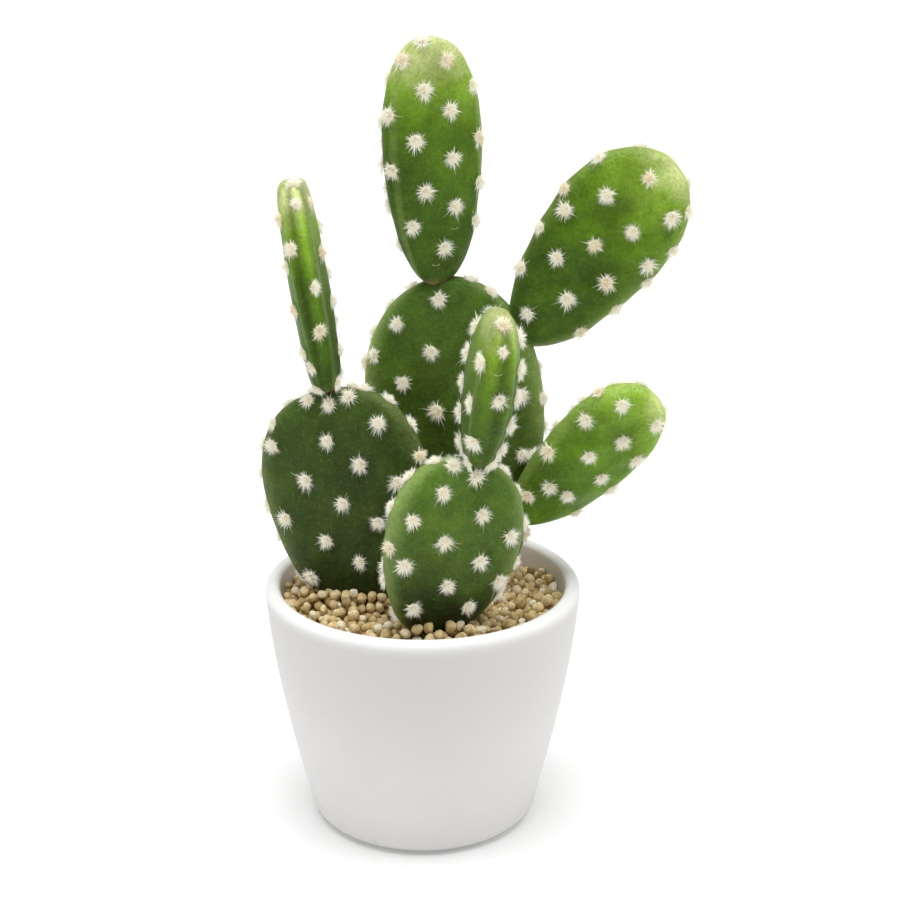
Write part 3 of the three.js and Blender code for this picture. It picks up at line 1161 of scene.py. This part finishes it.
class Tufting:
    """Grows the tufts: a felt cushion and a burst of bristles at each spot."""

    BRISTLES = 240
    LONG_SHARE = 0.5
    SPINE_WIDTH = 0.075
    SHORT_REACH = 2.15
    LONG_REACH = 2.85
    CUSHION = 1.75
    SCAR = 1.1

    def __init__(self, rng: np.random.Generator) -> None:
        """Models the bristle, the cushion and the scar that all the others are copied from."""
        self.rng = rng
        self.bristle = self._model_bristle()
        self.cushion = self._model_cushion()
        self.scar = self._model_scar()

    @staticmethod
    def _model_bristle() -> bpy.types.Object:
        """A thin bristle of length 1 up Z with a slight bow."""
        Bench.clear()
        bpy.ops.mesh.primitive_cone_add(vertices=3, radius1=1, radius2=0, depth=1, location=(0, 0, 0.5))
        shape = Bench.take("bristle_master")
        bpy.ops.object.transform_apply(location=True, rotation=False, scale=False)
        bpy.ops.object.mode_set(mode="EDIT")
        bpy.ops.mesh.select_all(action="SELECT")
        bpy.ops.mesh.bisect(plane_co=(0, 0, 0.55), plane_no=(0, 0, 1))
        bpy.ops.transform.resize(value=(1.7, 1.7, 1), center_override=(0, 0, 0.55))
        bpy.ops.transform.translate(value=(1.0, 0, 0))
        bpy.ops.object.mode_set(mode="OBJECT")
        return shape

    @staticmethod
    def _model_cushion() -> bpy.types.Object:
        """A small dome of radius 1."""
        Bench.clear()
        bpy.ops.mesh.primitive_uv_sphere_add(segments=8, ring_count=6)
        shape = Bench.take("cushion_master")
        bpy.ops.object.mode_set(mode="EDIT")
        bpy.ops.mesh.select_all(action="SELECT")
        bpy.ops.mesh.bisect(plane_co=(0, 0, -0.3), plane_no=(0, 0, 1), clear_inner=True, use_fill=True)
        bpy.ops.object.mode_set(mode="OBJECT")
        return shape

    @staticmethod
    def _model_scar() -> bpy.types.Object:
        """A thin half ring of radius 1 that hangs open downwards."""
        Bench.clear()
        bpy.ops.mesh.primitive_torus_add(
            major_radius=1, minor_radius=0.16, major_segments=16, minor_segments=6
        )
        shape = Bench.take("scar_master")
        bpy.ops.object.mode_set(mode="EDIT")
        bpy.ops.mesh.select_all(action="SELECT")
        bpy.ops.mesh.bisect(plane_co=(0, 0, 0), plane_no=(0, 1, 0), clear_inner=True, use_fill=True)
        bpy.ops.object.mode_set(mode="OBJECT")
        return shape

    @staticmethod
    def _axes(tuft: Tuft) -> np.ndarray:
        """A tuft's axes as columns: level, downhill and outward."""
        outward = tuft.outward.normalized()
        down = Vector((0.0, 0.0, -1.0)) - outward * -outward.z
        down = down.normalized() if down.length > 1e-3 else outward.orthogonal().normalized()
        level = down.cross(outward)
        return np.array([level, down, outward]).T

    def _burst(self, tuft: Tuft) -> tuple[np.ndarray, np.ndarray]:
        """The frames and the warmth of one tuft's bristles."""
        rng, count = self.rng, self.BRISTLES
        axes = self._axes(tuft)
        around = rng.uniform(0, 2 * math.pi, count)
        far = rng.uniform(0, 1, count) < self.LONG_SHARE
        rise = np.radians(np.where(far, rng.uniform(2, 38, count), rng.uniform(25, 88, count)))
        flat = np.cos(rise)
        ways = np.stack([flat * np.cos(around), flat * np.sin(around), np.sin(rise)], axis=1)
        fall = np.maximum(ways[:, 1], 0)
        lengths = np.where(far, self.LONG_REACH, self.SHORT_REACH) * rng.uniform(0.7, 1.1, count)
        lengths *= tuft.size * (1 + 0.25 * fall)
        stray = rng.uniform(0, 1, count) > 0.98
        lengths = np.where(stray, lengths * rng.uniform(1.2, 1.6, count), lengths)
        roots = 1.1 * tuft.size * rng.uniform(0.1, 1, (count, 1)) * ways * (1, 1, 0.5)
        ways[:, 1] += 0.18 * flat
        ways /= np.linalg.norm(ways, axis=1)[:, None]
        bend = np.array([0, 0.5, 1.0]) - ways * (ways @ np.array([0, 0.5, 1.0]))[:, None]
        bend /= np.linalg.norm(bend, axis=1)[:, None]
        third = np.cross(ways, bend)
        widths = self.SPINE_WIDTH * rng.uniform(0.75, 1.3, count)
        columns = np.stack([bend * widths[:, None], third * widths[:, None], ways * lengths[:, None]], axis=2)
        frames = np.concatenate([axes @ columns, (axes @ roots[:, :, None])], axis=2) * MM
        frames[:, :, 3] += np.array(tuft.place)
        centre = np.exp(-((np.linalg.norm(roots, axis=1) / 0.55) ** 2))
        rust = 0.5 if rng.uniform() > 0.88 else 0.0
        warmth = centre * rng.uniform(-0.15 + rust, 0.75 + rust, count) + rng.normal(0.03, 0.04, count)
        warmth = np.clip(warmth, 0, 1)
        return frames, warmth

    def _pillow(self, tuft: Tuft) -> np.ndarray:
        """The frame of one tuft's felt cushion."""
        size = self.CUSHION * tuft.size * MM
        columns = self._axes(tuft) * np.array([size, size * 1.1, size * 0.6])
        place = np.array(tuft.place)[:, None]
        return np.concatenate([columns, place], axis=1)[None]

    def grow(self, name: str, tufts: list[Tuft]) -> tuple[bpy.types.Object, bpy.types.Object]:
        """Makes a pad's bristles and its felt cushions.

        Args:
            name: the pad's name.
            tufts: where its tufts grow.

        Returns:
            The bristles and the cushions, each as one piece.
        """
        bristles, cushions = Swarm(), Swarm()
        for tuft in tufts:
            frames, warmth = self._burst(tuft)
            bristles.add(self.bristle, frames, warmth)
            cushions.add(self.cushion, self._pillow(tuft), self.rng.uniform(0, 1, 1))
        return bristles.build(name + "_bristles", "warmth"), cushions.build(name + "_felt", "tone")

    def mark(self, name: str, scars: list[Tuft]) -> bpy.types.Object:
        """Makes a pad's pale crescent scars.

        Args:
            name: the pad's name.
            scars: where they are.

        Returns:
            The scars as one piece.
        """
        marks = Swarm()
        for scar in scars:
            size = self.SCAR * scar.size * MM
            columns = self._axes(scar) * np.array([size, size * 0.5, size * 0.5])
            frame_of_scar = np.concatenate([columns, np.array(scar.place)[:, None]], axis=1)[None]
            marks.add(self.scar, frame_of_scar, np.array([0.5]))
        return marks.build(name + "_scars", "tone")


class Plant:
    """The cactus: its pads and their tufts."""

    # In both skins the dark base is partly painted shade, the pale tip is partly a painted highlight, and the
    # edge colour is painted rim light.
    OLD_SKIN = PadSkin(
        "skin_old",
        base=(0.017, 0.028, 0.002), middle=(0.055, 0.1, 0.012), high=(0.062, 0.118, 0.012),
        upper=(0.066, 0.13, 0.012), tip=(0.08, 0.16, 0.018), rim=(0.2, 0.28, 0.08),
        fresh=(0.12, 0.18, 0.02), rim_light_share=0.75, fresh_share=0.25, roughness=0.5,
    )
    YOUNG_SKIN = PadSkin(
        "skin_young",
        base=(0.055, 0.11, 0.01), middle=(0.075, 0.155, 0.008), high=(0.1, 0.2, 0.006),
        upper=(0.23, 0.39, 0.03), tip=(0.59, 0.66, 0.26), rim=(0.28, 0.4, 0.1),
        fresh=(0.16, 0.29, 0.01), rim_light_share=0.45, fresh_share=0.2, roughness=0.44,
    )
    GRAVEL_MARGIN = 2.2 * MM

    def __init__(self) -> None:
        """Plans every pad."""
        pads = {pad.name: pad for pad in PADS}
        self.makers = [
            PadMaker(pad, pads, np.random.default_rng(SEED + place)) for place, pad in enumerate(PADS)
        ]

    def build(self) -> None:
        """Models the pads, then their tufts, and dresses them."""
        skins = {Age.OLD: self.OLD_SKIN.material(), Age.YOUNG: self.YOUNG_SKIN.material()}
        for maker in self.makers:
            piece = maker.body()
            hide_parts(maker.pad.name)
            Bench.finish(piece, skins[maker.pad.age])
            self._report_fit(maker.pad.name, piece)
        self._grow_tufts()

    @staticmethod
    def _report_fit(node: str, piece: bpy.types.Object) -> None:
        """Logs how far a pad's top corner is from its CAD node's."""
        _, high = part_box(node)
        top = Vector(Bench.points(piece).max(axis=0))
        LOG.info("%s: top corner within %.2f mm of the frame", node, (top - high).length / MM)

    def _grow_tufts(self) -> None:
        """Grows each pad's tufts, except where another pad or the gravel covers them."""
        tufting = Tufting(np.random.default_rng(SEED))
        bristle, felt = Bristle().material(), Felt().material()
        scar = Felt("scar", light=(0.62, 0.68, 0.36), dark=(0.4, 0.47, 0.2)).material()
        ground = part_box("gravel")[1].z + self.GRAVEL_MARGIN
        for maker in self.makers:
            others = [other for other in self.makers if other is not maker]
            tufts = [
                tuft for tuft in maker.tufts
                if tuft.place.z > ground
                and not any(other.gap(tuft.place + tuft.outward * MM)[0] < 0.2 * MM for other in others)
            ]
            bristles, cushions = tufting.grow(maker.pad.name, tufts)
            Bench.finish(bristles, bristle)
            Bench.finish(cushions, felt)
            if maker.scars:
                Bench.finish(tufting.mark(maker.pad.name, maker.scars), scar)
        remove([tufting.bristle, tufting.cushion, tufting.scar])


# ---------------------------------------------------------------- pot and fill


@dataclass
class Pot:
    """The ceramic pot, in millimetres.

    Attributes:
        foot_radius: the wall's radius if it went straight on to the ground.
        swell: how full the wall is near the foot, where 1 is a straight cone.
        foot_round: the radius of the rounded foot.
        wall: the wall's thickness.
        floor: the floor's thickness.
        inner_round: the radius between the floor and the wall inside.
        lip_round: the radius of the lip's outer edge.
        sides: how many sides the round has.
    """

    foot_radius: float = 35.0
    swell: float = 1.5
    foot_round: float = 6.8
    wall: float = 4.7
    floor: float = 6.0
    inner_round: float = 6.0
    lip_round: float = 2.9
    sides: int = 144

    def __post_init__(self) -> None:
        """Takes the height and the rim's radius from the frame."""
        _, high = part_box("pot")
        self.height = high.z / MM
        self.rim_radius = high.x / MM

    def radius(self, height: float) -> float:
        """The wall's outside radius at a height."""
        up = 1 - height / self.height
        return self.foot_radius + (self.rim_radius - self.foot_radius) * (1 - up**self.swell)

    @staticmethod
    def _arc(middle: tuple[float, float], size: float, start: float, end: float, steps: int) -> list:
        """Points of an arc of the profile, from one angle in degrees to another."""
        angles = np.radians(np.linspace(start, end, steps + 1))
        return [(middle[0] + size * math.cos(a), middle[1] + size * math.sin(a)) for a in angles]

    def profile(self) -> list[tuple[float, float]]:
        """Radius and height from the underside's edge, up the wall, over the lip and down inside."""
        lip_low = self.height - self.lip_round
        foot_middle = (self.radius(self.foot_round) - self.foot_round, self.foot_round)
        foot = self._arc(foot_middle, self.foot_round, -90, 0, 8)
        outside = [(self.radius(z), z) for z in np.linspace(self.foot_round, lip_low, 20)[1:-1]]
        inner_lip_round = self.wall - self.lip_round
        outer_lip = self._arc((self.rim_radius - self.lip_round, lip_low), self.lip_round, 0, 90, 9)
        inner_lip = self._arc(
            (self.rim_radius - self.lip_round, self.height - inner_lip_round), inner_lip_round, 90, 180, 7
        )[1:]
        bend = self.floor + self.inner_round
        heights = np.linspace(self.height - inner_lip_round, bend, 16)[1:]
        inside = [(self.radius(z) - self.wall, z) for z in heights]
        corner = (self.radius(bend) - self.wall - self.inner_round, bend)
        round_in = self._arc(corner, self.inner_round, 0, -90, 6)[1:]
        return foot + outside + outer_lip + inner_lip + inside + round_in

    def build(self) -> bpy.types.Object:
        """Models the pot from one disc: drawn up, over the lip and down to its floor.

        Returns:
            The piece.
        """
        profile = [(radius * MM, height * MM) for radius, height in self.profile()]
        radius, height = profile[0]
        Bench.clear()
        bpy.ops.mesh.primitive_circle_add(
            vertices=self.sides, radius=radius, fill_type="NGON", location=(0, 0, height)
        )
        piece = Bench.take("pot_shell")
        bpy.ops.object.transform_apply(location=True, rotation=False, scale=False)
        bpy.ops.object.mode_set(mode="EDIT")
        bpy.ops.mesh.select_all(action="SELECT")
        for next_radius, next_height in profile[1:]:
            rise = {"value": (0, 0, next_height - height)}
            bpy.ops.mesh.extrude_region_move(TRANSFORM_OT_translate=rise)
            grow = next_radius / radius
            bpy.ops.transform.resize(value=(grow, grow, 1), center_override=(0, 0, next_height))
            radius, height = next_radius, next_height
        bpy.ops.mesh.select_all(action="SELECT")
        bpy.ops.mesh.normals_make_consistent(inside=False)
        bpy.ops.object.mode_set(mode="OBJECT")
        Bench.smooth(piece)
        self._flatten(piece)
        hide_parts("pot")
        Bench.finish(piece, Ceramic().material())
        return piece

    @staticmethod
    def _flatten(piece: bpy.types.Object) -> None:
        """Keeps the underside and the inner floor flat."""
        for face in piece.data.polygons:
            if len(face.vertices) > 4:
                face.use_smooth = False


class Gravel:
    """The bed of loose stones on top of the soil."""

    STONES = 1600
    SMALLEST = 1.1
    LARGEST = 2.15
    SETTLING = 60
    CLOSENESS = 0.93
    PUSH = 0.32
    MASTERS = 8
    LEVEL = 2.3
    HEAP = 3.0
    HEAP_REACH = 5.0

    def __init__(self, pads: list[PadMaker]) -> None:
        """Takes the bed's box from the frame, and the pads that the stones lie round."""
        self.low, self.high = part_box("gravel")
        self.rng = np.random.default_rng(SEED + 100)
        self.pads = [maker for maker in pads if maker.pad.root]

    def _model_stone(self, number: int) -> bpy.types.Object:
        """A rounded, blocky stone of radius 1.

        Args:
            number: which of the masters it is.

        Returns:
            The shape.
        """
        Bench.clear()
        bpy.ops.mesh.primitive_cube_add(size=1.5)
        shape = Bench.take(f"stone_master_{number}")
        bpy.ops.object.mode_set(mode="EDIT")
        bpy.ops.mesh.select_all(action="SELECT")
        bpy.ops.mesh.subdivide(number_cuts=2)
        bpy.ops.transform.tosphere(value=0.85)
        for _ in range(3):
            way = Vector(self.rng.normal(size=3)).normalized()
            bpy.ops.mesh.select_all(action="SELECT")
            bpy.ops.mesh.bisect(
                plane_co=way * self.rng.uniform(0.72, 0.88), plane_no=way, clear_outer=True, use_fill=True
            )
        bpy.ops.mesh.select_all(action="SELECT")
        bpy.ops.mesh.remove_doubles(threshold=0.1)
        bpy.ops.mesh.normals_make_consistent(inside=False)
        bpy.ops.object.mode_set(mode="OBJECT")
        places = Bench.points(shape)
        Bench.move_points(shape, places * (1 + self.rng.uniform(-0.06, 0.06, (len(places), 1))))
        return shape

    def _settle(self, radii: np.ndarray) -> np.ndarray:
        """Pushes balls of these radii apart in the bed, though some still overlap.

        Args:
            radii: each ball's radius in metres.

        Returns:
            Each ball's middle.
        """
        rng, count = self.rng, len(radii)
        reach = self.high.x + 0.2 * MM
        turn = rng.uniform(0, 2 * math.pi, count)
        out = reach * np.sqrt(rng.uniform(0, 1, count))
        rise = rng.uniform(self.low.z, self.high.z, count)
        middles = np.stack([out * np.cos(turn), out * np.sin(turn), rise], axis=1)
        ceiling = self.high.z + self.LEVEL * MM
        for step in range(self.SETTLING):
            apart = middles[:, None, :] - middles[None, :, :]
            distance = np.linalg.norm(apart, axis=2) + np.eye(count)
            wanted = self.CLOSENESS * (radii[:, None] + radii[None, :])
            push = np.clip(wanted - distance, 0, None) * (1 - np.eye(count))
            middles += self.PUSH * (apart * (push / distance)[:, :, None]).sum(axis=1)
            middles[:, 2] -= 0.03 * MM
            if step % 4 == 3 or step > self.SETTLING - 4:
                gaps = self._clear_pads(middles, radii)
            flat = np.linalg.norm(middles[:, :2], axis=1)
            limit = (reach - 0.9 * radii) / np.maximum(flat, 1e-9)
            middles[:, :2] *= np.minimum(limit, 1)[:, None]
            middles[:, 2] = np.clip(middles[:, 2], self.low.z + 0.8 * radii, ceiling - 0.75 * radii)
        middles[:, 2] += self.HEAP * MM * np.exp(-((gaps / (self.HEAP_REACH * MM)) ** 2))
        return middles

    def _clear_pads(self, middles: np.ndarray, radii: np.ndarray) -> np.ndarray:
        """Moves stones out of the pads' bases.

        Args:
            middles: the stones' middles, which are changed.
            radii: their radii.

        Returns:
            The gap from each stone to the nearest pad.
        """
        gaps = np.full(len(middles), 1.0)
        for maker in self.pads:
            for i, middle in enumerate(middles):
                gap, outward = maker.gap(Vector(middle))
                if gap < 0.8 * radii[i]:
                    away = Vector((outward.x, outward.y, 0.25)).normalized()
                    middles[i] += np.array(away) * (0.8 * radii[i] - gap)
                gaps[i] = min(gaps[i], max(gap - radii[i], 0.0))
        return gaps

    def _frames(self, middles: np.ndarray, radii: np.ndarray) -> np.ndarray:
        """A turned and slightly flattened frame for each stone."""
        rng, count = self.rng, len(radii)
        turns, _ = np.linalg.qr(rng.normal(size=(count, 3, 3)))
        turns *= np.sign(np.linalg.det(turns))[:, None, None]
        sizes = radii[:, None] * rng.uniform((1.0, 0.88, 0.78), (1.2, 1.05, 0.98), (count, 3))
        return np.concatenate([turns * sizes[:, None, :], middles[:, :, None]], axis=2)

    def build(self) -> bpy.types.Object:
        """Models the stones and lays them.

        Returns:
            The piece.
        """
        masters = [self._model_stone(number) for number in range(self.MASTERS)]
        share = self.rng.beta(2.0, 2.2, self.STONES)
        radii = (self.SMALLEST + (self.LARGEST - self.SMALLEST) * share) * MM
        frames = self._frames(self._settle(radii), radii)
        tints = np.clip(self.rng.normal(0.57, 0.2, self.STONES), 0, 1)
        tints = np.where(self.rng.uniform(size=self.STONES) > 0.965, 0.95, tints)
        bed = Swarm()
        for number, master in enumerate(masters):
            chosen = slice(number, None, self.MASTERS)
            bed.add(master, frames[chosen], tints[chosen])
        remove(masters)
        piece = bed.build("gravel_stones", "tint")
        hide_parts("gravel")
        Bench.finish(piece, Stone().material())
        return piece


def dress_soil() -> None:
    """Gives the CAD soil its material."""
    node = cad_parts["potting_soil"]
    node.data.materials.clear()
    node.data.materials.append(Soil().material())
    LOG.info("potting_soil: dressed")


# ---------------------------------------------------------------------- studio


@dataclass
class Studio:
    """The floor, the lights and the camera, in metres and degrees.

    Attributes:
        camera_place: where the camera stands.
        camera_tilt: how far it looks down.
        lens: its focal length in millimetres, on a 36 mm sensor.
        world: how bright the surroundings are.
        sun: the strength of the broad light from overhead.
        sun_spread: how broad that light is.
    """

    camera_place: tuple[float, float, float] = (0.00865, -0.612, 0.340)
    camera_tilt: float = 19.5
    lens: float = 83.44
    world: float = 0.2
    sun: float = 3.3
    sun_spread: float = 52.0

    def build(self) -> None:
        """Makes the floor, the lights and the camera."""
        self._floor()
        self._surroundings()
        self._light("lamp_left", (-1.3, 0.1, 0.7), 0.8, 3.0)
        self._light("lamp_right", (1.3, 0.1, 0.8), 0.8, 4.0)
        self._overhead()
        self._camera()

    @staticmethod
    def _floor() -> None:
        """A wide pale floor."""
        Bench.clear()
        bpy.ops.mesh.primitive_plane_add(size=24)
        floor = Bench.take("floor")
        floor.data.materials.append(Backdrop().material())

    def _surroundings(self) -> None:
        """Even white light from all round."""
        world = bpy.data.worlds.new("studio_white")
        world.use_nodes = True
        background = world.node_tree.nodes["Background"]
        background.inputs["Color"].default_value = (1, 1, 1, 1)
        background.inputs["Strength"].default_value = self.world
        bpy.context.scene.world = world
        bpy.context.scene.view_settings.view_transform = "Standard"

    def _overhead(self) -> None:
        """A broad soft light from nearly straight above."""
        lamp = bpy.data.lights.new("overhead", "SUN")
        lamp.energy = self.sun
        lamp.angle = math.radians(self.sun_spread)
        holder = bpy.data.objects.new("overhead", lamp)
        holder.rotation_euler = (math.radians(5), 0.0, 0.0)
        bpy.context.scene.collection.objects.link(holder)

    @staticmethod
    def _light(name: str, place: tuple[float, float, float], size: float, power: float) -> None:
        """A soft square lamp that faces the plant.

        Args:
            name: its name.
            place: where it hangs.
            size: its side.
            power: its power in watts.
        """
        lamp = bpy.data.lights.new(name, "AREA")
        lamp.size = size
        lamp.energy = power
        holder = bpy.data.objects.new(name, lamp)
        holder.location = place
        aim = Vector((0.0, 0.0, 0.12)) - Vector(place)
        holder.rotation_euler = aim.to_track_quat("-Z", "Y").to_euler()
        bpy.context.scene.collection.objects.link(holder)

    def _camera(self) -> None:
        """The camera, level across and looking down at the plant."""
        camera = bpy.data.cameras.new("camera")
        camera.lens = self.lens
        camera.sensor_width = 36.0
        camera.clip_start = 0.01
        holder = bpy.data.objects.new("camera", camera)
        holder.location = self.camera_place
        holder.rotation_euler = (math.radians(90 - self.camera_tilt), 0.0, 0.0)
        bpy.context.scene.collection.objects.link(holder)
        bpy.context.scene.camera = holder


def main() -> None:
    """Builds every piece in order."""
    logging.basicConfig(level=logging.INFO, format="%(message)s")
    Studio().build()
    plant = Plant()
    plant.build()
    Pot().build()
    dress_soil()
    Gravel(plant.makers).build()
    Bench.clear()


if __name__ == "__main__":
    main()
